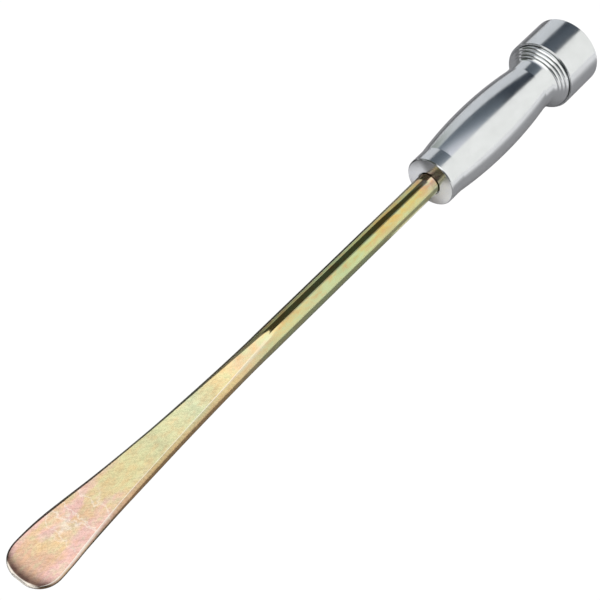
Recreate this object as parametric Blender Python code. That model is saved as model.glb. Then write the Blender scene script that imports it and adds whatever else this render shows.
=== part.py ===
"""Tyre lever: a forged spoon bar held in a turned aluminium grip with a hex socket head.

The tool lies along X, spoon at -X and socket at +X, with the spoon's working face up (+Z).
The origin is on the tool's axis, halfway along its length.

The bar's shoulder seats in the front of the grip.  Behind it a tang with two flats runs through
the grip and the head, where a washer and a thin nut at the bottom of the socket draw the three
together.  The flats stop the bar, the grip and the head from turning on each other.

Sizes below are in millimetres.  Meshes are made in metres.
"""
import math

import bmesh
import bpy

MM = 0.001
SAME_PLACE = 0.000001

# Driving dimensions.
EXPOSED_BAR = 290.0
GRIP_LENGTH = 100.0
HEAD_LENGTH = 26.0
OVERALL = EXPOSED_BAR + GRIP_LENGTH + HEAD_LENGTH
GAP = 0.3

ROD_RADIUS = 6.0
TANG_RADIUS = 5.0
TANG_FLAT_HEIGHT = 4.3
TANG_CHAMFER = 0.8

FERRULE_RADIUS = 13.6
FERRULE_LENGTH = 10.2
BARREL_RADIUS = 16.1
BARREL_LENGTH = 74.8
NECK_LENGTH = 7.1
NECK_FILLET = 4.0
NECK_FILLET_SWEEP = 35.0
FLANGE_RADIUS = 18.1
FLANGE_BEVEL_END = 98.9
BEAD_COUNT = 3
BEAD_RISE = 0.25
FACE_CHAMFER = 0.5
FACE_CROWN = 1.2
COUNTERBORE_RADIUS = 6.5
COUNTERBORE_DEPTH = 2.0

HEAD_RADIUS = 19.5
LIP_INNER_RADIUS = 18.45
LIP_CHAMFER = 0.25
RECESS_DEPTH = 1.8
WEB_THICKNESS = 5.0
RIM_CHAMFER = 1.2
SOCKET_ACROSS_FLATS = 27.2
SOCKET_LEAD_IN = 1.0

WASHER_RADIUS = 10.0
WASHER_THICKNESS = 2.0
NUT_ACROSS_FLATS = 17.0
NUT_THICKNESS = 5.0
NUT_CHAMFER = 0.8
NUT_FACE_INSET = 0.2
THREAD_STAND_OUT = 1.0
HOLE_RADIUS = TANG_RADIUS + GAP
OVERSHOOT = 1.0

# Places along X.
FACE = -OVERALL / 2 + EXPOSED_BAR
SHOULDER = FACE + COUNTERBORE_DEPTH - GAP
FLANGE_END = FACE + GRIP_LENGTH + RECESS_DEPTH - GAP
HEAD_START = FACE + GRIP_LENGTH
HEAD_END = HEAD_START + HEAD_LENGTH
WEB_START = HEAD_START + RECESS_DEPTH
SOCKET_FLOOR = WEB_START + WEB_THICKNESS
WASHER_START = SOCKET_FLOOR + GAP
WASHER_END = WASHER_START + WASHER_THICKNESS
NUT_START = WASHER_END + GAP
NUT_END = NUT_START + NUT_THICKNESS
TANG_END = NUT_END + THREAD_STAND_OUT
FLATS_END = WASHER_START

# The blade from the rod to the tip: distance from the grip's face, half width, half width of the
# flat face, thickness, and height of the section's middle above the tool's axis.
BLADE = (
    (129.0, 6.00, 0.80, 11.89, 0.00),
    (135.0, 6.00, 1.50, 11.00, 0.00),
    (145.0, 6.10, 2.40, 9.70, 0.08),
    (165.0, 6.55, 3.75, 8.60, 0.20),
    (195.0, 7.60, 5.40, 7.60, 0.50),
    (215.0, 8.70, 6.70, 6.90, 1.05),
    (235.0, 10.05, 8.10, 5.60, 2.05),
    (250.0, 11.35, 9.50, 4.10, 3.00),
    (262.0, 12.40, 10.80, 3.00, 3.40),
    (272.0, 13.10, 11.80, 2.50, 2.70),
    (282.0, 13.30, 12.20, 2.30, 1.60),
    (290.0, 13.30, 12.20, 2.20, 1.30),
)
BLADE_START = BLADE[0][0]
ROD_FLAT_HALF = BLADE[0][2]
BLADE_STEP = 7.0
TIP_ROUND = 13.0
TIP_POWER = 2.4
TIP_EDGE = 1.1
TIP_LAST = 0.998

TURNED_STEPS = 64
BARREL_STEPS = 12
FILLET_STEPS = 3
BEAD_STEPS = 4
TIP_STEPS = 12
FLAT_SEGMENTS = 3
SIDE_SEGMENTS = 11
FIXING_STEPS = 48
TWO_FLATS_STEPS = 14


def material(name, colour, roughness, metallic):
    made = bpy.data.materials.new(name)
    made.use_nodes = True
    shader = made.node_tree.nodes["Principled BSDF"]
    shader.inputs["Base Color"].default_value = (*colour, 1.0)
    shader.inputs["Roughness"].default_value = roughness
    shader.inputs["Metallic"].default_value = metallic
    made.diffuse_color = (*colour, 1.0)
    return made


def add_object(name, mesh, finish=None):
    thing = bpy.data.objects.new(name, mesh)
    bpy.context.scene.collection.objects.link(thing)
    if finish:
        mesh.materials.append(finish)
    return thing


def turned(name, profile, finish=None, steps=TURNED_STEPS, closed=False):
    """A solid of revolution about the tool's axis, from (place along X, radius) points.

    The profile runs along its outer side from the head end towards the spoon.
    """
    points = [(radius * MM, 0.0, place * MM) for place, radius in profile]
    edges = [(i, i + 1) for i in range(len(points) - 1)]
    if closed:
        edges.append((len(points) - 1, 0))
    mesh = bpy.data.meshes.new(name)
    mesh.from_pydata(points, edges, [])
    thing = add_object(name, mesh, finish)
    thing.rotation_euler = (0.0, math.pi / 2, 0.0)
    screw = thing.modifiers.new("Turn", "SCREW")
    screw.axis = "Z"
    screw.angle = math.tau
    screw.steps = steps
    screw.render_steps = steps
    screw.use_merge_vertices = True
    screw.merge_threshold = SAME_PLACE
    return thing


def prism(name, outline, start, end, finish=None):
    """A straight prism along X, from an outline of (y, z) points."""
    shape = bmesh.new()
    base = shape.faces.new([shape.verts.new((start * MM, y * MM, z * MM)) for y, z in outline])
    swept = bmesh.ops.extrude_face_region(shape, geom=[base])
    moved = [item for item in swept["geom"] if isinstance(item, bmesh.types.BMVert)]
    bmesh.ops.translate(shape, vec=((end - start) * MM, 0.0, 0.0), verts=moved)
    bmesh.ops.recalc_face_normals(shape, faces=shape.faces)
    mesh = bpy.data.meshes.new(name)
    shape.to_mesh(mesh)
    shape.free()
    return add_object(name, mesh, finish)


def cut(thing, cutter, operation="DIFFERENCE"):
    cutter.hide_render = True
    cutter.display_type = "WIRE"
    boolean = thing.modifiers.new(cutter.name, "BOOLEAN")
    boolean.operation = operation
    boolean.solver = "EXACT"
    boolean.object = cutter


def hexagon(across_flats):
    """Outline with flats above and below."""
    corner = across_flats / 2 / math.cos(math.radians(30.0))
    angles = [math.radians(60.0 * i) for i in range(6)]
    return [(corner * math.cos(a), corner * math.sin(a)) for a in angles]


def circle(radius):
    angles = [math.tau * i / FIXING_STEPS for i in range(FIXING_STEPS)]
    return [(radius * math.cos(a), radius * math.sin(a)) for a in angles]


def two_flats(radius, height):
    """Outline of a circle with a flat above and below."""
    corner = math.asin(height / radius)
    angles = [corner * (2 * i / TWO_FLATS_STEPS - 1) for i in range(TWO_FLATS_STEPS + 1)]
    right = [(radius * math.cos(a), radius * math.sin(a)) for a in angles]
    return right + [(-y, -z) for y, z in right]


def interpolate(table, place):
    """A row of the table at a place, by cubic curves whose slopes don't overshoot."""
    last = len(table) - 2
    row = next((i for i in range(last) if place < table[i + 1][0]), last)

    def slope(i, column):
        if i < 1 or i > last:
            return 0.0
        before = (table[i][column] - table[i - 1][column]) / (table[i][0] - table[i - 1][0])
        after = (table[i + 1][column] - table[i][column]) / (table[i + 1][0] - table[i][0])
        return 2 * before * after / (before + after) if before * after > 0 else 0.0

    width = table[row + 1][0] - table[row][0]
    t = (place - table[row][0]) / width
    values = []
    for column in range(1, len(table[0])):
        low, high = table[row][column], table[row + 1][column]
        rise = low + (high - low) * t * t * (3 - 2 * t)
        swing = slope(row, column) * (1 - t) - slope(row + 1, column) * t
        values.append(rise + swing * width * t * (1 - t))
    return values


def ring(place, half_width, flat_half, thickness, middle=0.0):
    """Points around the bar's section: an ellipse cut by a flat above and below.

    A thickness of twice the half width leaves the section round.
    """
    level = thickness / 2
    if level < half_width:
        swell = level / math.sqrt(1 - (flat_half / half_width) ** 2)
    else:
        swell = half_width
    corner = math.acos(flat_half / half_width)
    flat = [flat_half * (1 - 2 * i / FLAT_SEGMENTS) for i in range(FLAT_SEGMENTS)]
    top = [(y, min(level, swell * math.sqrt(1 - (y / half_width) ** 2))) for y in flat]
    turns = [corner * (1 - 2 * i / SIDE_SEGMENTS) for i in range(SIDE_SEGMENTS)]
    left = [(-half_width * math.cos(a), swell * math.sin(a)) for a in turns]
    half = top + left
    outline = half + [(-y, -z) for y, z in half]
    return [(place * MM, y * MM, (z + middle) * MM) for y, z in outline]


def round_ring(place, radius, flat_half=ROD_FLAT_HALF):
    return ring(place, radius, flat_half, 2 * radius)


def tip_ring(distance):
    """A blade section near the tip, where the outline and the edge round off."""
    half_width, flat_half, thickness, middle = interpolate(BLADE, distance)
    k = max(0.0, (distance - (EXPOSED_BAR - TIP_ROUND)) / TIP_ROUND)
    shrink = (1 - k**TIP_POWER) ** (1 / TIP_POWER)
    edge = max(0.0, (distance - (EXPOSED_BAR - TIP_EDGE)) / TIP_EDGE)
    thickness *= math.sqrt(1 - edge * edge)
    return ring(FACE - distance, half_width * shrink, flat_half * shrink, thickness, middle)


def bar_rings():
    """The bar's sections from the tip to the threaded end of the tang."""
    turns = [math.pi / 2 * i / TIP_STEPS for i in range(TIP_STEPS, 0, -1)]
    rounds = [min(TIP_LAST, math.sin(a)) for a in turns]
    tip = [tip_ring(EXPOSED_BAR - TIP_ROUND + TIP_ROUND * k) for k in rounds]
    count = round((EXPOSED_BAR - TIP_ROUND - BLADE_START) / BLADE_STEP)
    step = (EXPOSED_BAR - TIP_ROUND - BLADE_START) / count
    blade = [tip_ring(EXPOSED_BAR - TIP_ROUND - step * i) for i in range(count)]
    rod = [round_ring(end, ROD_RADIUS) for end in (FACE - BLADE_START, SHOULDER)]
    flat_half = math.sqrt(TANG_RADIUS**2 - TANG_FLAT_HEIGHT**2)
    ends = (SHOULDER, FLATS_END)
    tang = [ring(end, TANG_RADIUS, flat_half, 2 * TANG_FLAT_HEIGHT) for end in ends]
    ends = (FLATS_END, TANG_END - TANG_CHAMFER)
    thread = [round_ring(end, TANG_RADIUS, flat_half) for end in ends]
    point = [round_ring(TANG_END, TANG_RADIUS - TANG_CHAMFER, flat_half)]
    return tip + blade + rod + tang + thread + point


def lever_bar(finish):
    """One forging: spoon, rod and tang."""
    shape = bmesh.new()
    loops = [[shape.verts.new(point) for point in points] for points in bar_rings()]
    for first, second in zip(loops, loops[1:]):
        for i in range(len(first)):
            j = (i + 1) % len(first)
            shape.faces.new((first[i], first[j], second[j], second[i]))
    shape.faces.new(loops[0][::-1])
    shape.faces.new(loops[-1])
    bmesh.ops.remove_doubles(shape, verts=shape.verts, dist=SAME_PLACE)
    bmesh.ops.recalc_face_normals(shape, faces=shape.faces)
    mesh = bpy.data.meshes.new("lever_bar")
    shape.to_mesh(mesh)
    shape.free()
    mesh.shade_smooth()
    mesh.set_sharp_from_angle(angle=math.radians(30.0))
    return add_object("lever_bar", mesh, finish)


def barrel_points():
    """The barrel is one long arc between the ferrule and the neck."""
    half = BARREL_LENGTH / 2
    rise = BARREL_RADIUS - FERRULE_RADIUS
    radius = (half**2 + rise**2) / (2 * rise)
    middle = FACE + FERRULE_LENGTH + half
    points = []
    for i in range(BARREL_STEPS + 1):
        along = half * (1 - 2 * i / BARREL_STEPS)
        height = BARREL_RADIUS - radius + math.sqrt(radius**2 - along**2)
        points.append((middle + along, height))
    return points


def fillet_points():
    """The neck's fillet, from the flange's beads down to the neck."""
    neck_end = FACE + FERRULE_LENGTH + BARREL_LENGTH + NECK_LENGTH
    points = []
    for i in range(FILLET_STEPS, -1, -1):
        a = math.radians(NECK_FILLET_SWEEP * i / FILLET_STEPS)
        fillet_rise = NECK_FILLET * (1 - math.cos(a))
        points.append((neck_end + NECK_FILLET * math.sin(a), FERRULE_RADIUS + fillet_rise))
    return points


def bead_points(start, end):
    """Turned beads in a row between two points of a profile, leaving out the end point."""
    run, climb = end[0] - start[0], end[1] - start[1]
    slant = math.hypot(run, climb)
    points = []
    for i in range(BEAD_COUNT * BEAD_STEPS):
        along = i / (BEAD_COUNT * BEAD_STEPS)
        across = (i % BEAD_STEPS) / BEAD_STEPS
        swell = BEAD_RISE * 4 * across * (1 - across) / slant
        points.append((start[0] + run * along + climb * swell, start[1] + climb * along - run * swell))
    return points


def grip(finish):
    """Turned grip: flange, neck, barrel and ferrule, bored for the tang."""
    fillet = fillet_points()
    flange_edge = (FACE + FLANGE_BEVEL_END, FLANGE_RADIUS)
    profile = [(FLANGE_END, 0.0), (FLANGE_END, FLANGE_RADIUS)]
    profile += bead_points(flange_edge, fillet[0])
    profile += fillet
    profile += barrel_points()
    profile.append((FACE + FACE_CHAMFER, FERRULE_RADIUS))
    profile.append((FACE, FERRULE_RADIUS - FACE_CHAMFER))
    profile.append((FACE - FACE_CROWN, COUNTERBORE_RADIUS))
    profile.append((FACE + COUNTERBORE_DEPTH, COUNTERBORE_RADIUS))
    profile.append((FACE + COUNTERBORE_DEPTH, 0.0))
    body = turned("grip", profile, finish)
    hole = two_flats(HOLE_RADIUS, TANG_FLAT_HEIGHT + GAP)
    cut(body, prism("grip_bore_cutter", hole, FACE, FLANGE_END + OVERSHOOT))
    return body


def socket_head(finish):
    """Turned head: a lip around the grip's flange, a web and a hex socket."""
    profile = [
        (HEAD_END, 0.0),
        (HEAD_END, HEAD_RADIUS - RIM_CHAMFER),
        (HEAD_END - RIM_CHAMFER, HEAD_RADIUS),
        (HEAD_START + LIP_CHAMFER, HEAD_RADIUS),
        (HEAD_START, HEAD_RADIUS - LIP_CHAMFER),
        (HEAD_START, LIP_INNER_RADIUS),
        (WEB_START, LIP_INNER_RADIUS),
        (WEB_START, 0.0),
    ]
    body = turned("socket_head", profile, finish)
    hole = two_flats(HOLE_RADIUS, TANG_FLAT_HEIGHT + GAP)
    cut(body, prism("head_bore_cutter", hole, WEB_START - OVERSHOOT, SOCKET_FLOOR + OVERSHOOT))
    hexagonal = hexagon(SOCKET_ACROSS_FLATS)
    cut(body, prism("socket_cutter", hexagonal, SOCKET_FLOOR, HEAD_END + OVERSHOOT))
    mouth = SOCKET_ACROSS_FLATS / 2 + SOCKET_LEAD_IN
    depth = SOCKET_LEAD_IN + OVERSHOOT
    lead_in = [
        (HEAD_END + OVERSHOOT, 0.0),
        (HEAD_END + OVERSHOOT, mouth + OVERSHOOT),
        (HEAD_END - depth, mouth - depth),
        (HEAD_END - depth, 0.0),
    ]
    cut(body, turned("lead_in_cutter", lead_in))
    return body


def clamp_washer(finish):
    profile = [
        (WASHER_END, HOLE_RADIUS),
        (WASHER_END, WASHER_RADIUS),
        (WASHER_START, WASHER_RADIUS),
        (WASHER_START, HOLE_RADIUS),
    ]
    return turned("clamp_washer", profile, finish, steps=FIXING_STEPS, closed=True)


def lock_nut(finish):
    """Thin hexagon nut with chamfered corners."""
    body = prism("lock_nut", hexagon(NUT_ACROSS_FLATS), NUT_START, NUT_END, finish)
    inner = NUT_ACROSS_FLATS / 2 - NUT_FACE_INSET
    outer = inner + 2 * NUT_CHAMFER
    chamfers = [
        (NUT_END, 0.0),
        (NUT_END, inner),
        (NUT_END - NUT_CHAMFER, outer),
        (NUT_START + NUT_CHAMFER, outer),
        (NUT_START, inner),
        (NUT_START, 0.0),
    ]
    cut(body, turned("nut_corner_cutter", chamfers, steps=FIXING_STEPS), "INTERSECT")
    bore = circle(HOLE_RADIUS)
    cut(body, prism("nut_bore_cutter", bore, NUT_START - OVERSHOOT, NUT_END + OVERSHOOT))
    return body


def main():
    for old in list(bpy.data.objects):
        bpy.data.objects.remove(old)
    zinc_yellow = material("yellow_zinc_steel", (0.80, 0.66, 0.33), 0.28, 1.0)
    aluminium = material("turned_aluminium", (0.80, 0.81, 0.82), 0.22, 1.0)
    head_aluminium = material("head_aluminium", (0.82, 0.83, 0.84), 0.20, 1.0)
    zinc_white = material("bright_zinc_steel", (0.70, 0.71, 0.73), 0.32, 1.0)
    washer_zinc = material("washer_zinc_steel", (0.66, 0.67, 0.69), 0.36, 1.0)
    tool = bpy.data.objects.new("tyre_lever", None)
    bpy.context.scene.collection.objects.link(tool)
    pieces = [
        lever_bar(zinc_yellow),
        grip(aluminium),
        socket_head(head_aluminium),
        clamp_washer(washer_zinc),
        lock_nut(zinc_white),
    ]
    for piece in pieces:
        piece.parent = tool


main()
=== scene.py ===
"""The looks of the tyre lever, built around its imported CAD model.

Every piece is a loft of rings along X, the tool's axis, on the same sizes as the CAD solids but
with eased edges, a threaded tang end and a forged surface.  The tool's sizes are in millimetres,
the studio's in metres, and meshes are made in metres.
"""
import math

import bmesh
import bpy
from mathutils import Matrix, Vector, noise


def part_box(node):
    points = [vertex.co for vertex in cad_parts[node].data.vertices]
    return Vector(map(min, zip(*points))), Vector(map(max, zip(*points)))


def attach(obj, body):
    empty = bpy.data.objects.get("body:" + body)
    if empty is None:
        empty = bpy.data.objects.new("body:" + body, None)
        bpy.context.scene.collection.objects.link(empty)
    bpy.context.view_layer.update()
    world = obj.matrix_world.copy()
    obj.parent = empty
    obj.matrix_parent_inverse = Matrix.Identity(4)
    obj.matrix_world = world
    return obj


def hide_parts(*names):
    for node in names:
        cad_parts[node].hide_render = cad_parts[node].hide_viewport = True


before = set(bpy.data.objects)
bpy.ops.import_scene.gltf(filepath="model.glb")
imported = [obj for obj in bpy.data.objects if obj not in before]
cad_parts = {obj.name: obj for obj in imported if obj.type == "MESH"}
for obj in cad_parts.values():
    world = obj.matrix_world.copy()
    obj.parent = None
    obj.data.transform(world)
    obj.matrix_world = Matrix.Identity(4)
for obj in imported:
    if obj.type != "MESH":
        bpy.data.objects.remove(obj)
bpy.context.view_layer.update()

MM = 0.001


def reach(node):
    """Where a CAD node starts and ends along X, and its largest radius, in millimetres."""
    low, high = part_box(node)
    return low.x / MM, high.x / MM, max(high.y, high.z) / MM


TIP, TANG_END, _ = reach("lever_bar")
CROWN, FLANGE_END, FLANGE_RADIUS = reach("grip")
HEAD_START, HEAD_END, HEAD_RADIUS = reach("socket_head")
WASHER_START, WASHER_END, WASHER_RADIUS = reach("clamp_washer")
NUT_START, NUT_END, _ = reach("lock_nut")

# The bar, and the small gap left between pieces that touch.
GRIP_LENGTH = 100.0
FACE = HEAD_START - GRIP_LENGTH
EXPOSED_BAR = FACE - TIP
GAP = 0.3
ROD_RADIUS = 6.0
SHOULDER_EASE = 0.25
TANG_RADIUS = 5.0
TANG_FLAT_HEIGHT = 4.3
THREAD_PITCH = 1.5
THREAD_DEPTH = 0.7
THREAD_SHARPNESS = 0.8
THREAD_CHAMFER = 0.8

# The grip.
FERRULE_RADIUS = 13.6
FERRULE_LENGTH = 10.2
BARREL_RADIUS = 16.1
BARREL_LENGTH = 74.8
NECK_LENGTH = 7.1
NECK_FILLET = 4.0
NECK_FILLET_SWEEP = 35.0
FLANGE_BEVEL_END = 98.9
BEAD_COUNT = 3
BEAD_RISE = 0.3
FACE_CHAMFER = 0.5
COUNTERBORE_RADIUS = 6.5
COUNTERBORE_DEPTH = 2.0

# The head.
LIP_INNER_RADIUS = 18.45
LIP_CHAMFER = 0.25
RECESS_DEPTH = 1.8
WEB_THICKNESS = 5.0
RIM_CHAMFER = 1.2
SOCKET_ACROSS_FLATS = 27.2
SOCKET_LEAD_IN = 1.0
SOCKET_LEAD_STEP = 0.02
SOCKET_RIM_WIDTH = 1.5
SOCKET_FLOOR_FILLET = 0.4
HOLE_RADIUS = TANG_RADIUS + GAP

# The nut.
NUT_ACROSS_FLATS = 17.0
NUT_FACE_INSET = 0.2
NUT_CONE_SLOPE = 0.5
NUT_LEAD_IN = 0.5

# The blade from the rod to the tip: distance from the grip's face, half width, half width of the
# flat face, thickness, and height of the section's middle above the tool's axis.
BLADE = (
    (129.0, 6.00, 0.80, 11.89, 0.00),
    (135.0, 6.00, 1.50, 11.00, 0.00),
    (145.0, 6.10, 2.40, 9.70, 0.08),
    (165.0, 6.55, 3.75, 8.60, 0.20),
    (195.0, 7.60, 5.40, 7.60, 0.50),
    (215.0, 8.70, 6.70, 6.90, 1.05),
    (235.0, 10.05, 8.10, 5.60, 2.05),
    (250.0, 11.35, 9.50, 4.10, 3.00),
    (262.0, 12.40, 10.80, 3.00, 3.40),
    (272.0, 13.10, 11.80, 2.50, 2.70),
    (282.0, 13.30, 12.20, 2.30, 1.60),
    (290.0, 13.30, 12.20, 2.20, 1.30),
)
BLADE_START = BLADE[0][0]
TIP_ROUND = 13.0
TIP_POWER = 2.4
TIP_EDGE = 1.1
TIP_LAST = 0.998

# Steps round a turned ring, along the bar and along the grip: counts, and lengths where the name
# ends in STEP.
STEPS = 192
TIP_STEPS = 30
BLADE_STEP = 1.25
ROD_STEPS = 40
THREAD_STEP = 0.12
FILLET_STEPS = 8
BEAD_STEPS = 10
BARREL_STEPS = 48

# A turned profile's corners over EASED_FROM are eased.  The curve takes at most EASE_SHARE of the
# edges beside it, and a support point stands EASE_SUPPORT times as far out at each end.
EASED_FROM = math.radians(5.0)
EASE_SHARE = 0.4
EASE_SUPPORT = 1.2
EASE_STEPS = 3
EASED_CORNER_POINTS = EASE_STEPS + 3
TURNED_EASE = 0.15
HEAD_EASE = 0.12
WASHER_EASE = 0.25


# Shapes.

SHARP_FROM = math.radians(32.0)


def loft(name, rings, closed=False):
    """A closed body through rings of points.  A closed loft returns to its first ring."""
    shape = bmesh.new()
    loops = [[shape.verts.new(Vector(point) * MM) for point in points] for points in rings]
    pairs = list(zip(loops, loops[1:]))
    if closed:
        pairs.append((loops[-1], loops[0]))
    for first, second in pairs:
        for i in range(len(first)):
            j = (i + 1) % len(first)
            shape.faces.new((first[i], first[j], second[j], second[i]))
    if not closed:
        shape.faces.new(loops[0][::-1])
        shape.faces.new(loops[-1])
    bmesh.ops.remove_doubles(shape, verts=shape.verts, dist=0.000001)
    bmesh.ops.recalc_face_normals(shape, faces=shape.faces)
    mesh = bpy.data.meshes.new(name)
    shape.to_mesh(mesh)
    shape.free()
    mesh.shade_smooth()
    mesh.set_sharp_from_angle(angle=SHARP_FROM)
    thing = bpy.data.objects.new(name, mesh)
    bpy.context.scene.collection.objects.link(thing)
    return thing


def polar_ring(place, radius):
    """A ring about the axis.  Place and radius are numbers or functions of the angle."""
    points = []
    for i in range(STEPS):
        angle = math.tau * i / STEPS
        x = place(angle) if callable(place) else place
        r = radius(angle) if callable(radius) else radius
        points.append((x, r * math.cos(angle), r * math.sin(angle)))
    return points


def eased(profile, ease):
    """The closed profile with each corner turned into a small curve between two support points."""
    points = []
    for i, corner in enumerate(profile):
        before = Vector(profile[i - 1])
        corner = Vector(corner)
        after = Vector(profile[(i + 1) % len(profile)])
        if (corner - before).angle(after - corner) < EASED_FROM:
            points.append(tuple(corner))
            continue
        back = min(ease / (before - corner).length, EASE_SHARE)
        ahead = min(ease / (after - corner).length, EASE_SHARE)
        start = corner.lerp(before, back)
        end = corner.lerp(after, ahead)
        points.append(tuple(corner.lerp(before, EASE_SUPPORT * back)))
        for k in range(EASE_STEPS + 1):
            t = k / EASE_STEPS
            points.append(tuple(start.lerp(corner, t).lerp(corner.lerp(end, t), t)))
        points.append(tuple(corner.lerp(after, EASE_SUPPORT * ahead)))
    return points


def turned(name, profile, ease=TURNED_EASE):
    """A turned ring from its closed profile of (place, radius) points."""
    return loft(name, [polar_ring(x, r) for x, r in eased(profile, ease)], closed=True)


def hexagon_radius(angle, across_flats):
    """Distance from the axis to a hexagon with flats above and below."""
    sector = math.radians(60.0)
    from_flat = (angle - math.radians(90.0) + sector / 2) % sector - sector / 2
    return across_flats / 2 / math.cos(from_flat)


def interpolate(table, place):
    """A row of the table at a place, by cubic curves whose slopes don't overshoot."""
    last = len(table) - 2
    row = next((i for i in range(last) if place < table[i + 1][0]), last)

    def slope(i, column):
        if i < 1 or i > last:
            return 0.0
        before = (table[i][column] - table[i - 1][column]) / (table[i][0] - table[i - 1][0])
        after = (table[i + 1][column] - table[i][column]) / (table[i + 1][0] - table[i][0])
        return 2 * before * after / (before + after) if before * after > 0 else 0.0

    width = table[row + 1][0] - table[row][0]
    t = (place - table[row][0]) / width
    values = []
    for column in range(1, len(table[0])):
        low, high = table[row][column], table[row + 1][column]
        rise = low + (high - low) * t * t * (3 - 2 * t)
        swing = slope(row, column) * (1 - t) - slope(row + 1, column) * t
        values.append(rise + swing * width * t * (1 - t))
    return values


FLAT_STEPS = 10
EDGE_STEPS = 6
SIDE_STEPS = 16
EDGE_EASE = 0.3
EDGE_FLAT_SHARE = 0.4
EDGE_SIDE_SHARE = 0.5
EDGE_BLEND = 0.35


def section(place, half_width, flat_half, thickness, middle=0.0):
    """Points around the bar: an ellipse cut by a flat above and below, with eased edges."""
    level = thickness / 2
    if level < half_width:
        swell = level / math.sqrt(1 - (flat_half / half_width) ** 2)
    else:
        swell = half_width
    ease = min(EDGE_EASE, EDGE_FLAT_SHARE * flat_half, EDGE_SIDE_SHARE * (half_width - flat_half))
    inner, outer = flat_half - ease, flat_half + ease
    flat = [inner * (1 - 2 * i / FLAT_STEPS) for i in range(FLAT_STEPS)]
    edge = [-inner - (outer - inner) * i / EDGE_STEPS for i in range(EDGE_STEPS)]
    top = [-y for y in reversed(edge[1:])] + flat + edge
    corner = math.acos(min(1.0, outer / half_width))
    turns = [corner * (1 - 2 * i / SIDE_STEPS) for i in range(SIDE_STEPS)]

    def height(y):
        curve = swell * math.sqrt(max(0.0, 1 - (y / half_width) ** 2))
        if level >= half_width or ease <= 0.0:
            return min(level, curve)
        blend = ease * swell / half_width * EDGE_BLEND
        near = max(0.0, blend - abs(level - curve)) / blend
        return min(level, curve) - near * near * blend / 4

    half = [(y, height(y)) for y in top]
    half += [(-half_width * math.cos(a), swell * math.sin(a)) for a in turns]
    outline = half + [(-y, -z) for y, z in half]
    return [(place, y, z + middle) for y, z in outline]


def round_section(place, radius, flat_half=BLADE[0][2]):
    return section(place, radius, flat_half, 2 * radius)


# Hammer and die marks on the blade: size and depth of the broad and the fine ones, how far past
# the rod they start and come up to full depth, and the most of the half thickness they may take.
BROAD_MARK = 9.0
BROAD_DEPTH = 0.05
FINE_MARK = 2.3
FINE_DEPTH = 0.022
FINE_OFFSET = Vector((7.0, 3.0, 1.0))
MARKS_FROM = 4.0
MARKS_RUN = 30.0
MARKS_SHARE = 0.3


def forged(point):
    """How far the forged surface sinks at a point."""
    place = Vector(point)
    broad = noise.noise(place / BROAD_MARK)
    fine = noise.noise(place / FINE_MARK + FINE_OFFSET)
    return max(0.0, 0.5 + 0.5 * broad) * BROAD_DEPTH + max(0.0, 0.5 + 0.5 * fine) * FINE_DEPTH


def blade_section(distance):
    """A blade section, where the outline and the edge round off near the tip."""
    half_width, flat_half, thickness, middle = interpolate(BLADE, distance)
    rounding = max(0.0, (distance - (EXPOSED_BAR - TIP_ROUND)) / TIP_ROUND)
    shrink = (1 - rounding**TIP_POWER) ** (1 / TIP_POWER)
    edge = max(0.0, (distance - (EXPOSED_BAR - TIP_EDGE)) / TIP_EDGE)
    thickness *= math.sqrt(1 - edge * edge)
    fade = min(1.0, max(0.0, (distance - BLADE_START - MARKS_FROM) / MARKS_RUN)) * (1 - edge)
    smooth = section(FACE - distance, half_width * shrink, flat_half * shrink, thickness, middle)
    points = []
    for x, y, z in smooth:
        sink = forged((x, y, z)) * fade
        outward = 1 if z > middle else -1
        points.append((x, y, z - outward * min(sink, abs(z - middle) * MARKS_SHARE)))
    return points


def thread_ring(place, flat_half):
    """A ring of the threaded end, whose crest climbs by one pitch each turn."""
    points = []
    chamfer = max(0.0, place - (TANG_END - THREAD_CHAMFER))
    for x, y, z in round_section(place, TANG_RADIUS, flat_half):
        angle = math.atan2(z, y)
        turn = (place / THREAD_PITCH - angle / math.tau) % 1.0
        depth = THREAD_DEPTH * (1 - abs(2 * turn - 1)) ** THREAD_SHARPNESS
        radius = min(TANG_RADIUS - depth, TANG_RADIUS - chamfer)
        points.append((x, radius * math.cos(angle), radius * math.sin(angle)))
    return points


def lever_bar():
    """One forging: spoon, rod and tang."""
    straight = EXPOSED_BAR - TIP_ROUND
    turns = [math.pi / 2 * i / TIP_STEPS for i in range(TIP_STEPS, 0, -1)]
    rings = [blade_section(straight + TIP_ROUND * min(TIP_LAST, math.sin(a))) for a in turns]
    count = round((straight - BLADE_START) / BLADE_STEP)
    step = (straight - BLADE_START) / count
    rings += [blade_section(straight - step * i) for i in range(count)]
    shoulder = FACE + COUNTERBORE_DEPTH - GAP
    rod_start = FACE - BLADE_START
    rod_end = shoulder - SHOULDER_EASE
    for i in range(ROD_STEPS + 1):
        rings.append(round_section(rod_start + (rod_end - rod_start) * i / ROD_STEPS, ROD_RADIUS))
    rings.append(round_section(shoulder, ROD_RADIUS - SHOULDER_EASE))
    flat_half = math.sqrt(TANG_RADIUS**2 - TANG_FLAT_HEIGHT**2)
    for place in (shoulder, WASHER_START):
        rings.append(section(place, TANG_RADIUS, flat_half, 2 * TANG_FLAT_HEIGHT))
    threaded = TANG_END - WASHER_START
    thread_steps = round(threaded / THREAD_STEP)
    for i in range(thread_steps + 1):
        rings.append(thread_ring(WASHER_START + threaded * i / thread_steps, flat_half))
    return loft("lever_bar_forging", rings)


def fillet_points():
    """The neck's fillet, from the flange's beads down to the neck."""
    neck_end = FACE + FERRULE_LENGTH + BARREL_LENGTH + NECK_LENGTH
    points = []
    for i in range(FILLET_STEPS, -1, -1):
        a = math.radians(NECK_FILLET_SWEEP * i / FILLET_STEPS)
        rise = NECK_FILLET * (1 - math.cos(a))
        points.append((neck_end + NECK_FILLET * math.sin(a), FERRULE_RADIUS + rise))
    return points


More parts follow.
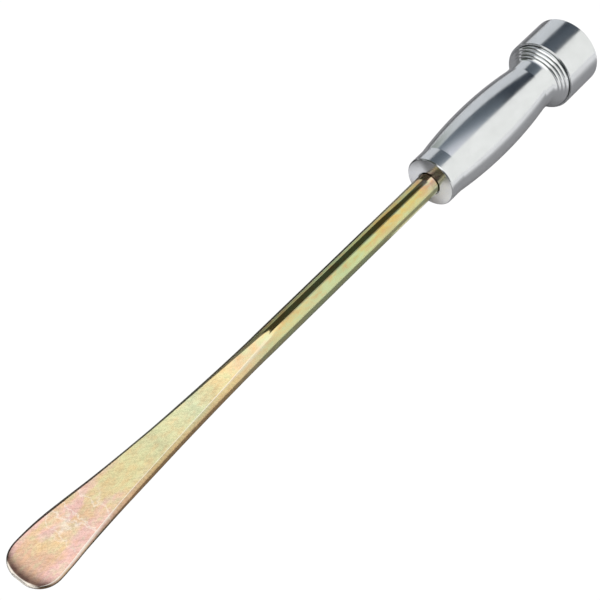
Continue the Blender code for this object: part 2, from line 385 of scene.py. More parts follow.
def bead_points(start, end):
    """Turned beads in a row between two points of a profile, leaving out the end point."""
    run, climb = end[0] - start[0], end[1] - start[1]
    slant = math.hypot(run, climb)
    points = []
    for i in range(BEAD_COUNT * BEAD_STEPS):
        along = i / (BEAD_COUNT * BEAD_STEPS)
        across = (i % BEAD_STEPS) / BEAD_STEPS
        swell = BEAD_RISE * 4 * across * (1 - across) / slant
        place = start[0] + run * along + climb * swell
        radius = start[1] + climb * along - run * swell
        points.append((place, radius))
    return points


def barrel_points():
    """The barrel is one long arc between the ferrule and the neck."""
    half = BARREL_LENGTH / 2
    rise = BARREL_RADIUS - FERRULE_RADIUS
    bow = (half**2 + rise**2) / (2 * rise)
    middle = FACE + FERRULE_LENGTH + half
    points = []
    for i in range(BARREL_STEPS + 1):
        along = half * (1 - 2 * i / BARREL_STEPS)
        points.append((middle + along, BARREL_RADIUS - bow + math.sqrt(bow**2 - along**2)))
    return points


def grip():
    """Turned grip: flange, neck, barrel and ferrule, bored for the tang."""
    fillet = fillet_points()
    flange_edge = (FACE + FLANGE_BEVEL_END, FLANGE_RADIUS)
    profile = [(FLANGE_END, HOLE_RADIUS), (FLANGE_END, FLANGE_RADIUS)]
    profile += bead_points(flange_edge, fillet[0]) + fillet + barrel_points()
    profile += [
        (FACE + FACE_CHAMFER, FERRULE_RADIUS),
        (FACE, FERRULE_RADIUS - FACE_CHAMFER),
        (CROWN, COUNTERBORE_RADIUS),
        (FACE + COUNTERBORE_DEPTH, COUNTERBORE_RADIUS),
        (FACE + COUNTERBORE_DEPTH, HOLE_RADIUS),
    ]
    return turned("grip_turning", profile)


def socket_head():
    """Turned head: a lip around the grip's flange, a web and a hex socket."""
    web = HEAD_START + RECESS_DEPTH
    floor = web + WEB_THICKNESS
    mouth = SOCKET_ACROSS_FLATS / 2 + SOCKET_LEAD_IN

    def hexagon(angle):
        return hexagon_radius(angle, SOCKET_ACROSS_FLATS)

    def lead_in_end(angle):
        return HEAD_END - max(0.0, mouth - hexagon(angle)) - SOCKET_LEAD_STEP

    outer = [
        (web, HOLE_RADIUS),
        (web, LIP_INNER_RADIUS),
        (HEAD_START, LIP_INNER_RADIUS),
        (HEAD_START, HEAD_RADIUS - LIP_CHAMFER),
        (HEAD_START + LIP_CHAMFER, HEAD_RADIUS),
        (HEAD_END - RIM_CHAMFER, HEAD_RADIUS),
        (HEAD_END, HEAD_RADIUS - RIM_CHAMFER),
        (HEAD_END, mouth + SOCKET_RIM_WIDTH),
    ]
    both_ends_plain = eased(outer, HEAD_EASE)[EASED_CORNER_POINTS:-EASED_CORNER_POINTS]
    rings = [polar_ring(x, r) for x, r in both_ends_plain]
    rings += [
        polar_ring(HEAD_END, mouth + SOCKET_RIM_WIDTH),
        polar_ring(HEAD_END, lambda a: max(mouth, hexagon(a))),
        polar_ring(lead_in_end, hexagon),
        polar_ring(floor + SOCKET_FLOOR_FILLET, hexagon),
        polar_ring(floor, lambda a: hexagon(a) - SOCKET_FLOOR_FILLET),
        polar_ring(floor, HOLE_RADIUS),
        polar_ring(web, HOLE_RADIUS),
    ]
    return loft("socket_head_turning", rings, closed=True)


def clamp_washer():
    profile = [
        (WASHER_END, HOLE_RADIUS),
        (WASHER_END, WASHER_RADIUS),
        (WASHER_START, WASHER_RADIUS),
        (WASHER_START, HOLE_RADIUS),
    ]
    return turned("clamp_washer_disc", profile, ease=WASHER_EASE)


def lock_nut():
    """Thin hexagon nut, its corners chamfered by a cone at both faces."""
    inner = NUT_ACROSS_FLATS / 2 - NUT_FACE_INSET

    def hexagon(angle):
        return hexagon_radius(angle, NUT_ACROSS_FLATS)

    def cone_depth(angle):
        return max(0.0, hexagon(angle) - inner) * NUT_CONE_SLOPE

    rings = [
        polar_ring(NUT_END, HOLE_RADIUS + NUT_LEAD_IN),
        polar_ring(NUT_END, inner),
        polar_ring(lambda a: NUT_END - cone_depth(a), hexagon),
        polar_ring(lambda a: NUT_START + cone_depth(a), hexagon),
        polar_ring(NUT_START, inner),
        polar_ring(NUT_START, HOLE_RADIUS),
        polar_ring(NUT_END - NUT_LEAD_IN, HOLE_RADIUS),
    ]
    return loft("lock_nut_thin", rings, closed=True)


# Materials.

class Nodes:
    """A material's nodes, added one at a time."""

    def __init__(self, name):
        self.material = bpy.data.materials.new(name)
        self.material.use_nodes = True
        self.tree = self.material.node_tree

    def feed(self, socket, value):
        if isinstance(value, bpy.types.NodeSocket):
            self.tree.links.new(value, socket)
        else:
            socket.default_value = value

    def add(self, kind, **inputs):
        made = self.tree.nodes.new(kind)
        for name, value in inputs.items():
            self.feed(made.inputs[name.replace("_", " ")], value)
        return made

    def math(self, operation, *values, clamp=False):
        made = self.tree.nodes.new("ShaderNodeMath")
        made.operation = operation
        made.use_clamp = clamp
        for socket, value in zip(made.inputs, values):
            self.feed(socket, value)
        return made.outputs[0]

    def vector(self, operation, *values):
        made = self.tree.nodes.new("ShaderNodeVectorMath")
        made.operation = operation
        for socket, value in zip(made.inputs, values):
            self.feed(socket, value)
        return made.outputs["Value" if operation == "DOT_PRODUCT" else "Vector"]

    def rise(self, value, zero, one):
        """Goes from 0 to 1 while a value goes from zero to one, and stays there."""
        made = self.add("ShaderNodeMapRange", Value=value)
        made.inputs["From Min"].default_value = zero
        made.inputs["From Max"].default_value = one
        return made.outputs["Result"]

    def ramp(self, value, stops):
        """Colours at (position, colour) stops; a single number is a grey."""
        made = self.add("ShaderNodeValToRGB", Fac=value)
        elements = made.color_ramp.elements
        while len(elements) < len(stops):
            elements.new(1.0)
        for element, (position, colour) in zip(elements, stops):
            element.position = position
            grey = isinstance(colour, (int, float))
            element.color = (colour, colour, colour, 1.0) if grey else (*colour, 1.0)
        return made.outputs["Color"]

    def mix(self, factor, first, second, blend="MIX"):
        made = self.tree.nodes.new("ShaderNodeMix")
        made.data_type = "RGBA"
        made.blend_type = blend
        self.feed(made.inputs["Factor"], factor)
        for socket, value in ((made.inputs[6], first), (made.inputs[7], second)):
            self.feed(socket, (*value, 1.0) if isinstance(value, tuple) else value)
        return made.outputs[2]


class Finish(Nodes):
    """A piece's finish.  Lengths along the object are in millimetres."""

    def __init__(self, name):
        super().__init__(name)
        self.shader = self.tree.nodes["Principled BSDF"]
        place = self.add("ShaderNodeTexCoord").outputs["Object"]
        self.place = self.vector("MULTIPLY", place, (1 / MM, 1 / MM, 1 / MM))
        split = self.add("ShaderNodeSeparateXYZ", Vector=self.place)
        self.x = split.outputs["X"]
        self.y = split.outputs["Y"]

    def facing_left(self):
        """How far the surface faces the tool's left side, along Y."""
        normal = self.tree.nodes.new("ShaderNodeTexCoord").outputs["Normal"]
        return self.add("ShaderNodeSeparateXYZ", Vector=normal).outputs["Y"]

    def along(self, start, end):
        """Goes from 0 to 1 along X, between two places."""
        return self.rise(self.x, start, end)

    def blend(self, factor, first, second):
        rest = self.math("MULTIPLY", first, self.math("SUBTRACT", 1.0, factor))
        return self.math("MULTIPLY_ADD", second, factor, rest)

    def scaled(self, value, by, plus=0.0):
        return self.math("MULTIPLY_ADD", value, by, plus)

    def stray(self, base, noise, reach):
        """A value that noise moves up and down, by half of reach at most."""
        return self.scaled(self.math("SUBTRACT", noise, 0.5), by=reach, plus=base)

    def noise(self, stretch, detail=2.0, roughness=0.5, offset=0.0, turn=0.0):
        """Noise whose cells measure about stretch millimetres along X, Y and Z, turned about Z."""
        place = self.place
        if turn:
            turned_place = self.add("ShaderNodeVectorRotate", Vector=place, Angle=math.radians(turn))
            turned_place.rotation_type = "Z_AXIS"
            place = turned_place.outputs["Vector"]
        scaled = self.vector("DIVIDE", place, stretch)
        if offset:
            scaled = self.vector("ADD", scaled, (offset, offset, offset))
        made = self.add("ShaderNodeTexNoise", Vector=scaled, Scale=1.0, Detail=detail)
        made.inputs["Roughness"].default_value = roughness
        return made.outputs["Fac"]

    def bump(self, height, depth):
        """A bump whose height of 1 stands depth millimetres proud."""
        made = self.add("ShaderNodeBump", Height=height, Strength=1.0, Distance=depth * MM)
        return made.outputs["Normal"]

    def surface(self, colour, roughness, normal, anisotropic=0.0):
        """Bare or plated metal.  An anisotropic one is brushed round the tool's axis."""
        for name, value in (("Base Color", colour), ("Roughness", roughness), ("Normal", normal)):
            self.feed(self.shader.inputs[name], value)
        self.shader.inputs["Metallic"].default_value = 1.0
        self.shader.inputs["Anisotropic"].default_value = anisotropic
        if anisotropic:
            tangent = self.tree.nodes.new("ShaderNodeTangent")
            tangent.direction_type = "RADIAL"
            tangent.axis = "X"
            self.tree.links.new(tangent.outputs[0], self.shader.inputs["Tangent"])
        return self.material


ALUMINIUM = (0.895, 0.915, 0.92)
WORN_ALUMINIUM = (0.845, 0.865, 0.865)
BRUSHED = 0.45


def turned_aluminium(name, tone=1.0):
    """Fine turned aluminium: lines run round the tool, with faint handling marks."""
    finish = Finish(name)
    fine = finish.noise((0.22, 60.0, 60.0), detail=3.0)
    broad = finish.noise((1.6, 160.0, 160.0), detail=2.0, offset=11.0)
    lines = finish.scaled(broad, by=0.9, plus=finish.scaled(fine, by=0.6))
    cloud = finish.noise((9.0, 5.0, 5.0), detail=4.0, offset=3.0)
    bright = tuple(tone * c for c in ALUMINIUM)
    worn = tuple(tone * c for c in WORN_ALUMINIUM)
    colour = finish.mix(finish.ramp(cloud, [(0.35, 0.0), (0.75, 1.0)]), bright, worn)
    roughness = finish.scaled(cloud, by=0.10, plus=0.12)
    return finish.surface(colour, roughness, finish.bump(lines, depth=0.0035), anisotropic=BRUSHED)


# Chromate tints by place along X, from the spoon's tip to the grip.
TINTS = (
    (-208.0, (0.72, 0.48, 0.36)),
    (-200.0, (0.76, 0.50, 0.36)),
    (-191.0, (0.84, 0.64, 0.38)),
    (-180.0, (0.84, 0.62, 0.43)),
    (-170.0, (0.79, 0.56, 0.37)),
    (-158.0, (0.76, 0.63, 0.36)),
    (-140.0, (0.75, 0.67, 0.37)),
    (-125.0, (0.74, 0.71, 0.42)),
    (-110.0, (0.81, 0.78, 0.46)),
    (-98.0, (0.78, 0.81, 0.52)),
    (-88.0, (0.86, 0.80, 0.47)),
    (-77.0, (0.96, 0.79, 0.42)),
    (-65.0, (0.92, 0.70, 0.43)),
    (-52.0, (0.80, 0.71, 0.42)),
    (-40.0, (0.87, 0.70, 0.31)),
    (-20.0, (0.77, 0.74, 0.38)),
    (5.0, (0.68, 0.74, 0.37)),
    (28.0, (0.74, 0.74, 0.30)),
    (46.0, (0.90, 0.64, 0.22)),
    (64.0, (0.83, 0.71, 0.25)),
    (73.0, (0.87, 0.63, 0.25)),
    (82.0, (0.80, 0.54, 0.40)),
)
# The pale tint colours the crackle and also paints highlights. The amber and lime tints colour flecks
# and also paint sheen, as the sage one does. The brown paints a dark reflection at the tip, and the
# olive paints shade.
ROSE = (0.90, 0.58, 0.54)
PALE_CRACKLE_AND_HIGHLIGHT = (0.97, 0.90, 0.80)
AMBER_FLECK_AND_SHEEN = (0.86, 0.50, 0.22)
LIME_FLECK_AND_SHEEN = (0.68, 0.80, 0.46)
SAGE_SHEEN = (0.70, 0.76, 0.62)
TIP_DARK_REFLECTION = (0.10, 0.055, 0.045)
OLIVE_RIM_SHADE = (0.13, 0.12, 0.08)

# Where a look comes in along X: the blade's forged skin, the rosy spoon, the painted dark reflection at
# the end and the painted highlight on the rim past it, the painted shade on the rim of the spoon's right
# side, and both ends of the crackle.
BLADE_SKIN = (FACE - BLADE_START + 4.0, FACE - BLADE_START - 40.0)
ROSY_SPOON = (-130.0, -165.0)
DARK_REFLECTION_END = (-200.5, -206.0)
HIGHLIGHT_RIM = (-206.9, -207.4)
SHADED_RIM = (-150.0, -172.0)
CRACKLE_NEAR = (-154.0, -164.0)
CRACKLE_FAR = (-190.0, -182.0)

# The painted highlight on the rim fades out between these places along Y. The bands across the tip bow
# with its outline, by this much for each square millimetre of Y squared.
HIGHLIGHT_RIM_SIDE = (-9.0, -5.0)
TIP_BOW = -0.027

DRIFT_REACH = 30.0
SPECKLE_REACH = 10.0
DARK_REFLECTION_REACH = 0.8
FLECKS_ON_ROD = 0.65
FLECKS_ON_BLADE = 0.28
CRACKLE_WARP = 9.0
CRACKLE_STRENGTH = 0.55
STROKE_TURN = 40.0


def film_tint(finish, drift):
    """The tint by place along the bar, which drifts and is finely speckled."""
    speckle = finish.noise((1.3, 1.3, 1.3), detail=3.0, roughness=0.65, offset=5.0)
    place = finish.stray(finish.x, drift, DRIFT_REACH)
    place = finish.stray(place, speckle, SPECKLE_REACH)
    share = finish.math("DIVIDE", finish.math("SUBTRACT", place, TIP), EXPOSED_BAR, clamp=True)
    return finish.ramp(share, [((x - TIP) / EXPOSED_BAR, tint) for x, tint in TINTS])


def patches_and_painted_tip(finish, colour, blade):
    """Rosy patches on the spoon, mostly near its sides, amber and lime flecks, a painted dark reflection
    at the end and a painted highlight on the rim past it.
    """
    patches = finish.noise((14.0, 6.0, 6.0), detail=3.0, offset=31.0)
    outward = finish.scaled(finish.math("ABSOLUTE", finish.y), by=0.030, plus=-0.17)
    rosy = finish.ramp(finish.math("ADD", patches, outward), [(0.44, 0.0), (0.58, 0.9)])
    colour = finish.mix(finish.math("MULTIPLY", rosy, finish.along(*ROSY_SPOON)), colour, ROSE)

    flecks = finish.noise((5.0, 2.6, 2.6), detail=4.0, roughness=0.6, offset=37.0)
    strength = finish.blend(blade, FLECKS_ON_ROD, FLECKS_ON_BLADE)
    amber = finish.ramp(flecks, [(0.50, 0.0), (0.66, 1.0)])
    lime = finish.ramp(flecks, [(0.36, 1.0), (0.50, 0.0)])
    colour = finish.mix(finish.math("MULTIPLY", amber, strength), colour, AMBER_FLECK_AND_SHEEN)
    colour = finish.mix(finish.math("MULTIPLY", lime, strength), colour, LIME_FLECK_AND_SHEEN)

    # Painted dark reflection over the tip's end, and a painted highlight on the rim past it.
    bowed = finish.scaled(finish.math("MULTIPLY", finish.y, finish.y), by=TIP_BOW, plus=finish.x)
    end = finish.stray(finish.rise(bowed, *DARK_REFLECTION_END), patches, DARK_REFLECTION_REACH)
    colour = finish.mix(finish.ramp(end, [(0.0, 0.0), (0.5, 0.35), (1.0, 0.96)]), colour, TIP_DARK_REFLECTION)
    highlight_rim = finish.math("MULTIPLY", finish.rise(bowed, *HIGHLIGHT_RIM), finish.rise(finish.y, *HIGHLIGHT_RIM_SIDE))
    return finish.mix(highlight_rim, colour, PALE_CRACKLE_AND_HIGHLIGHT)


def sides_with_painted_sheen(finish, colour, blade, left, right):
    """Painted sheen: the film's colour shift with viewing angle, painted by which way the surface faces.
    Amber down the blade's right wall, greener on the bar's left and on the rod's right.
    """
    wall_sheen = finish.ramp(right, [(0.50, 0.0), (0.95, 0.75)])
    colour = finish.mix(finish.math("MULTIPLY", wall_sheen, blade), colour, AMBER_FLECK_AND_SHEEN)
    colour = finish.mix(finish.ramp(left, [(0.45, 0.0), (0.8, 0.6)]), colour, SAGE_SHEEN)
    cool_sheen = finish.ramp(right, [(0.5, 0.0), (0.9, 0.6)])
    rod = finish.math("SUBTRACT", 1.0, blade)
    return finish.mix(finish.math("MULTIPLY", cool_sheen, rod), colour, LIME_FLECK_AND_SHEEN)


def crackled(finish, colour):
    """Pale crackle lines where the spoon was worked."""
    wander = finish.add("ShaderNodeTexNoise", Vector=finish.place, Scale=0.25, Detail=3.0)
    warp = finish.vector("MULTIPLY", wander.outputs["Color"], (CRACKLE_WARP, CRACKLE_WARP, CRACKLE_WARP))
    cells = finish.vector("DIVIDE", finish.vector("ADD", finish.place, warp), (11.0, 46.0, 46.0))
    crackle = finish.add("ShaderNodeTexVoronoi", Vector=cells)
    crackle.feature = "DISTANCE_TO_EDGE"
    crackle.inputs["Scale"].default_value = 1.0
    line = finish.ramp(crackle.outputs["Distance"], [(0.0, 1.0), (0.04, 0.0)])
    worked = finish.math("MULTIPLY", finish.along(*CRACKLE_NEAR), finish.along(*CRACKLE_FAR))
    strength = finish.math("MULTIPLY", worked, CRACKLE_STRENGTH)
    return finish.mix(finish.math("MULTIPLY", line, strength), colour, PALE_CRACKLE_AND_HIGHLIGHT)


def edge_highlight_and_rim_shade(finish, colour, blade, right):
    """A painted highlight along the blade's right edge, and painted shade on the rim under the spoon's.
    """
    edge = finish.ramp(right, [(0.06, 0.0), (0.2, 0.85), (0.45, 0.85), (0.6, 0.0)])
    colour = finish.mix(finish.math("MULTIPLY", edge, blade), colour, PALE_CRACKLE_AND_HIGHLIGHT)
    # Painted shade on the rim of the spoon's right side.
    rim_shade = finish.ramp(right, [(0.55, 0.0), (0.85, 0.9)])
    return finish.mix(finish.math("MULTIPLY", rim_shade, finish.along(*SHADED_RIM)), colour, OLIVE_RIM_SHADE)


def yellow_zinc(name):
    """Yellow-chromate zinc on a forging: the film's tint drifts along and round the bar, with painted
    sheen by which way each side faces, and painted highlights and shade on the spoon's edges and tip.
    """
    finish = Finish(name)
    blade = finish.along(*BLADE_SKIN)
    left = finish.facing_left()
    right = finish.math("MULTIPLY", left, -1.0)
    drift = finish.noise((24.0, 9.0, 12.0), detail=3.0)
    strokes = finish.noise((3.6, 0.7, 3.0), detail=3.0, roughness=0.7, offset=9.0, turn=STROKE_TURN)
    grain = finish.noise((0.8, 0.8, 0.8), detail=3.0, roughness=0.7, offset=17.0)
    marks = finish.scaled(grain, by=0.45, plus=finish.scaled(strokes, by=0.55))

    colour = patches_and_painted_tip(finish, film_tint(finish, drift), blade)
    colour = sides_with_painted_sheen(finish, colour, blade, left, right)
    colour = crackled(finish, colour)
    mottle = finish.ramp(marks, [(0.42, 0.76), (0.56, 1.0)])
    colour = finish.mix(blade, colour, finish.mix(1.0, colour, mottle, blend="MULTIPLY"))
    colour = edge_highlight_and_rim_shade(finish, colour, blade, right)

    rough_blade = finish.scaled(strokes, by=0.20, plus=0.12)
    rough_rod = finish.scaled(drift, by=0.08, plus=0.04)
    roughness = finish.blend(blade, rough_rod, rough_blade)
    rod_lines = finish.noise((30.0, 0.5, 0.5), detail=2.0, offset=23.0)
    height = finish.blend(blade, finish.scaled(rod_lines, by=0.06), marks)
    return finish.surface(colour, roughness, finish.bump(height, depth=0.02))


WASHER_ZINC = (0.66, 0.67, 0.69)
NUT_ZINC = (0.72, 0.73, 0.75)
DULL_SHARE = 0.82


def bright_zinc(name, colour):
    """Clear-passivated zinc on a stamped or turned fixing, lightly scratched."""
    finish = Finish(name)
    cloud = finish.noise((3.0, 2.0, 2.0), detail=4.0)
    grain = finish.noise((0.5, 0.25, 0.25), detail=3.0, offset=4.0)
    dull = tuple(DULL_SHARE * c for c in colour)
    tint = finish.mix(cloud, colour, dull)
    roughness = finish.scaled(cloud, by=0.2, plus=0.2)
    return finish.surface(tint, roughness, finish.bump(grain, depth=0.006))


HEAD_TONE = 0.99


def dress():
    """Builds each piece, gives it its finish and lets it stand for its CAD node."""
    head_finish = turned_aluminium("head_aluminium_turned", HEAD_TONE)
    pieces = (
        (lever_bar(), "lever_bar", "yellow_zinc_steel", yellow_zinc("yellow_zinc")),
        (grip(), "grip", "turned_aluminium", turned_aluminium("grip_aluminium")),
        (socket_head(), "socket_head", "head_aluminium", head_finish),
        (clamp_washer(), "clamp_washer", "washer_zinc_steel", bright_zinc("washer_zinc", WASHER_ZINC)),
        (lock_nut(), "lock_nut", "bright_zinc_steel", bright_zinc("nut_zinc", NUT_ZINC)),
    )
    for piece, node, slot, finish in pieces:
        piece.data.materials.append(finish)
        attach(piece, "root")
        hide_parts(node)


# The camera, with its aim and distance in millimetres.
CAMERA_AZIMUTH = math.radians(-56.929)
CAMERA_ELEVATION = math.radians(51.794)
CAMERA_ROLL = math.radians(6.33)
CAMERA_DISTANCE = 786.765
CAMERA_AIM = Vector((-19.253, 2.631, 1.130))
CAMERA_LENS = 102.0
CLIP_START = 0.01
CLIP_END = 100.0


def add_camera():
    data = bpy.data.cameras.new("camera")
    data.lens = CAMERA_LENS
    data.clip_start = CLIP_START
    data.clip_end = CLIP_END
    camera = bpy.data.objects.new("camera", data)
    bpy.context.scene.collection.objects.link(camera)
    ahead = Vector((-math.sin(CAMERA_AZIMUTH), math.cos(CAMERA_AZIMUTH), 0.0))
    above = Vector((0.0, 0.0, 1.0))
    back = -ahead * math.cos(CAMERA_ELEVATION) + above * math.sin(CAMERA_ELEVATION)
    camera.location = (CAMERA_AIM + back * CAMERA_DISTANCE) * MM
    roll = Matrix.Rotation(CAMERA_ROLL, 3, "Z")
    camera.rotation_euler = ((-back).to_track_quat("-Z", "Y").to_matrix() @ roll).to_euler()
    bpy.context.scene.camera = camera


# The studio.

class StageNodes(Nodes):
    """The material of a floor or a card, whose surface is still to be made."""

    def __init__(self, name):
        super().__init__(name)
        self.tree.nodes.remove(self.tree.nodes["Principled BSDF"])

    def surface(self, shader):
        self.tree.links.new(shader.outputs[0], self.tree.nodes["Material Output"].inputs["Surface"])
        return self.material


def flat_piece(name, corners, material):
    mesh = bpy.data.meshes.new(name)
    mesh.from_pydata(corners, [], [(0, 1, 2, 3)])
    mesh.materials.append(material)
    thing = bpy.data.objects.new(name, mesh)
    bpy.context.scene.collection.objects.link(thing)
    return thing


# The floor, in metres. The metal sees grey paper with painted shadow: one strip by the bar, one by the
# ferrule's face and one by the grip, each as stops of painted shadow grey by distance to the tool's
# left. Past the tip the paper is white, and to the camera it is white all over, like a backlit table.
FLOOR_HALF = 6.0
FLOOR_GAP = 0.0001
TIP_DROP = 0.2
SHADE_HALF = 0.5
SHADE_BY_BAR = ((-0.11, 1.0), (-0.05, 0.30), (0.016, 0.30), (0.032, 0.05), (0.22, 0.05), (0.3, 1.0))
SHADE_BY_FACE = (
    (-0.11, 1.0),
    (-0.05, 0.36),
    (-0.016, 0.36),
    (-0.012, 0.97),
    (0.022, 0.97),
    (0.032, 0.05),
    (0.22, 0.05),
    (0.3, 1.0),
)
SHADE_BY_GRIP = ((-0.11, 1.0), (-0.05, 0.36), (0.06, 0.36), (0.09, 0.17), (0.2, 0.17), (0.28, 1.0))
FACE_STRIP = ((FACE - 34.0) * MM, (FACE - 26.0) * MM)
GRIP_STRIP = ((FACE - 5.0) * MM, (FACE + 3.0) * MM)
PAST_TIP = ((TIP + 1.0) * MM, (TIP - 1.0) * MM)
WHITE = (1.0, 1.0, 1.0)
PAPER_GAIN = 1.15
BACKLIGHT = 1.03


def shadow_grey(grey):
    """A painted shadow grey that is slightly lilac, like the shadows on the paper."""
    return (grey, 0.99 * grey, min(1.0, 1.03 * grey))


def add_floor():
    """The tool lies on its head's lower edge and its spoon's tip, so the floor slopes under it."""
    lip = HEAD_START + LIP_CHAMFER
    slope = (HEAD_RADIUS + TIP_DROP) / (lip - TIP)
    corners = []
    for side_x, side_y in ((-1, -1), (1, -1), (1, 1), (-1, 1)):
        x, y = side_x * FLOOR_HALF, side_y * FLOOR_HALF
        height = -HEAD_RADIUS * MM + slope * (lip * MM - x) - FLOOR_GAP
        corners.append((x, y, height))

    nodes = StageNodes("floor")
    place = nodes.add("ShaderNodeTexCoord").outputs["Object"]
    split = nodes.add("ShaderNodeSeparateXYZ", Vector=place)
    along = split.outputs["X"]
    across = nodes.math("ADD", split.outputs["Y"], SHADE_HALF)

    def strip(stops):
        return nodes.ramp(across, [(side + SHADE_HALF, shadow_grey(grey)) for side, grey in stops])

    # Painted shadow on the floor, which only the metal's reflections see.
    shade = nodes.mix(nodes.rise(along, *FACE_STRIP), strip(SHADE_BY_BAR), strip(SHADE_BY_FACE))
    shade = nodes.mix(nodes.rise(along, *GRIP_STRIP), shade, strip(SHADE_BY_GRIP))
    shade = nodes.mix(nodes.rise(along, *PAST_TIP), shade, WHITE)
    bright = nodes.vector("MULTIPLY", shade, (PAPER_GAIN, PAPER_GAIN, PAPER_GAIN))
    paper = nodes.add("ShaderNodeBsdfDiffuse", Color=bright)
    backlit = nodes.add("ShaderNodeEmission", Strength=BACKLIGHT)
    seen = nodes.tree.nodes.new("ShaderNodeMixShader")
    path = nodes.tree.nodes.new("ShaderNodeLightPath")
    shaders = (path.outputs["Is Camera Ray"], paper.outputs[0], backlit.outputs[0])
    for socket, output in zip(seen.inputs, shaders):
        nodes.feed(socket, output)
    flat_piece("floor", corners, nodes.surface(seen))


def card(name, corners, glow, rise_along=None):
    """A lit panel that the metal sees and the camera doesn't.

    Its glow is a colour, or stops of colour against how far a direction from the origin leans
    towards rise_along.
    """
    nodes = StageNodes(name)
    if rise_along is None:
        colour = (*glow, 1.0)
    else:
        toward = nodes.vector("NORMALIZE", nodes.add("ShaderNodeTexCoord").outputs["Object"])
        colour = nodes.ramp(nodes.vector("DOT_PRODUCT", toward, rise_along), glow)
    panel = flat_piece(name, corners, nodes.surface(nodes.add("ShaderNodeEmission", Color=colour)))
    panel.visible_camera = False
    return panel


def level(height, *points):
    """Corners of a level card from its (x, y) points."""
    return [(x, y, height) for x, y in points]


def oblong(ends, sides):
    """The (x, y) corners of an oblong, from its places along X and along Y."""
    return ((ends[0], sides[0]), (ends[1], sides[0]), (ends[1], sides[1]), (ends[0], sides[1]))


# The cards, in metres.  The key light is turned about the tool's axis.  It ends not far past the
# tip, so that surfaces that face the tip's way mirror the dark end card.
KEY_DISTANCE = 2.5
KEY_TURN = math.radians(-56.5)
KEY_HALF = 1.13
KEY_ENDS = (-0.9, 6.0)
KEY_GLOW = (0.88, 0.88, 0.865)

# The ceiling darkens ahead of the tool and has a slanted far end, where a darker one goes on.
CEILING = 2.5
CEILING_LEFT = -0.14 * CEILING
CEILING_RIGHT = 1.6 * CEILING
CEILING_NEAR = -1.6 * CEILING
CEILING_FAR = (0.98 * CEILING, 1.45 * CEILING)
DARK_CEILING_FAR = 7.0
DARK_CEILING_GLOW = (0.028, 0.036, 0.05)
DUSK_DIRECTION = (1.0, 0.28, 0.0)
DUSK = (
    (0.40, (0.64, 0.65, 0.71)),
    (0.47, (0.60, 0.61, 0.67)),
    (0.53, (0.47, 0.49, 0.54)),
    (0.57, (0.33, 0.36, 0.40)),
    (0.615, (0.21, 0.24, 0.28)),
    (0.67, (0.135, 0.16, 0.19)),
    (0.72, (0.105, 0.125, 0.15)),
    (0.80, (0.078, 0.095, 0.115)),
)

DARK_END_PLACE = -3.0
DARK_END_SIDES = (-5.0, 0.6)
DARK_END_HEIGHTS = (-0.4, 3.6)
DARK_END_GLOW = (0.06, 0.068, 0.07)

# Two low cards, light and dark side by side, for the blade to mirror.
BLADE_CARD_ENDS = (-0.6, 0.25)
BLADE_CARD_HEIGHT = 0.5
BLADE_LIGHT_SIDES = (-0.25, 0.42)
BLADE_LIGHT_GLOW = (1.2, 1.19, 1.18)
BLADE_SHADE_SIDES = (0.42, 1.6)
BLADE_SHADE_GLOW = (0.03, 0.034, 0.03)

# A dark flag just over the rod, which only reflections see, so it throws no shadow.
ROD_FLAG_HEIGHT = 0.05
ROD_FLAG_POINTS = ((-0.024, 0.0037), (0.107, 0.0037), (0.107, 0.085), (-0.006, 0.085))
ROD_FLAG_GLOW = (0.05, 0.055, 0.045)

BACKDROP_DISTANCE = 2.2
BACKDROP_HALF = 5.0
BACKDROP_FOOT = -0.5
BACKDROP_TURN = math.radians(52.0)
BACKDROP_RISE = 0.56
BACKDROP_FADE = (
    (0.0, (0.60, 0.62, 0.65)),
    (0.07, (0.46, 0.49, 0.48)),
    (0.15, (0.24, 0.26, 0.24)),
    (0.28, (0.06, 0.065, 0.06)),
)

SKY = (0.94, 0.97, 1.0)
SKY_STRENGTH = 0.45


def add_key_light():
    """A wide soft light over the tool's right side."""
    middle = Vector((0.0, math.sin(KEY_TURN), math.cos(KEY_TURN))) * KEY_DISTANCE
    across = Vector((0.0, math.cos(KEY_TURN), -math.sin(KEY_TURN))) * KEY_DISTANCE * KEY_HALF
    near, far = (Vector((x, 0.0, 0.0)) for x in KEY_ENDS)
    low, high = middle - across, middle + across
    card("key_light", (low + near, low + far, high + far, high + near), KEY_GLOW)


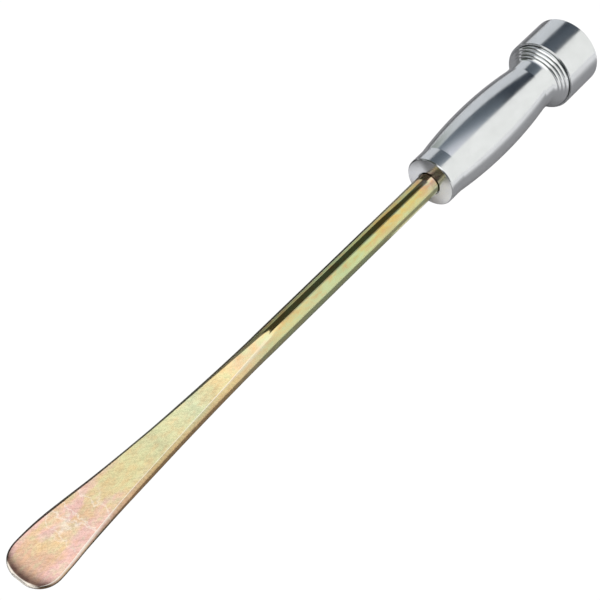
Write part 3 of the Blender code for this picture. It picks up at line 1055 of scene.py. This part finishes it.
def add_ceiling():
    far_edge = ((CEILING_FAR[0], CEILING_LEFT), (CEILING_FAR[1], CEILING_RIGHT))
    near_edge = ((CEILING_NEAR, CEILING_RIGHT), (CEILING_NEAR, CEILING_LEFT))
    end_edge = ((DARK_CEILING_FAR, CEILING_RIGHT), (DARK_CEILING_FAR, CEILING_LEFT))
    card("ceiling", level(CEILING, *far_edge, *near_edge), DUSK, DUSK_DIRECTION)
    card("dark_ceiling", level(CEILING, *far_edge, *end_edge), DARK_CEILING_GLOW)


def add_backdrop():
    """A pale wall ahead of the tool on its left, which gets darker further to the left."""
    out = Vector((math.cos(BACKDROP_TURN), math.sin(BACKDROP_TURN), 0.0)) * BACKDROP_DISTANCE
    aside = Vector((-math.sin(BACKDROP_TURN), math.cos(BACKDROP_TURN), 0.0))
    low = Vector((0.0, 0.0, BACKDROP_FOOT))
    high = Vector((0.0, 0.0, BACKDROP_RISE * BACKDROP_DISTANCE))
    right, left = out - aside * BACKDROP_HALF, out + aside * BACKDROP_HALF
    corners = (right + low, left + low, left + high, right + high)
    card("backdrop", corners, BACKDROP_FADE, aside)


def add_studio():
    """Soft light from the right, a ceiling that darkens away, a pale backdrop and low cards."""
    add_key_light()
    add_ceiling()
    corners = [(DARK_END_PLACE, y, z) for y, z in oblong(DARK_END_SIDES, DARK_END_HEIGHTS)]
    card("dark_end", corners, DARK_END_GLOW)
    blade_light = oblong(BLADE_CARD_ENDS, BLADE_LIGHT_SIDES)
    card("blade_light", level(BLADE_CARD_HEIGHT, *blade_light), BLADE_LIGHT_GLOW)
    blade_shade = oblong(BLADE_CARD_ENDS, BLADE_SHADE_SIDES)
    card("blade_shade", level(BLADE_CARD_HEIGHT, *blade_shade), BLADE_SHADE_GLOW)
    flag = card("rod_flag", level(ROD_FLAG_HEIGHT, *ROD_FLAG_POINTS), ROD_FLAG_GLOW)
    flag.visible_shadow = False
    flag.visible_diffuse = False
    add_backdrop()

    world = bpy.data.worlds.new("studio")
    world.use_nodes = True
    background = world.node_tree.nodes["Background"]
    background.inputs["Color"].default_value = (*SKY, 1.0)
    background.inputs["Strength"].default_value = SKY_STRENGTH
    bpy.context.scene.world = world
    bpy.context.scene.view_settings.view_transform = "Standard"


dress()
add_camera()
add_floor()
add_studio()
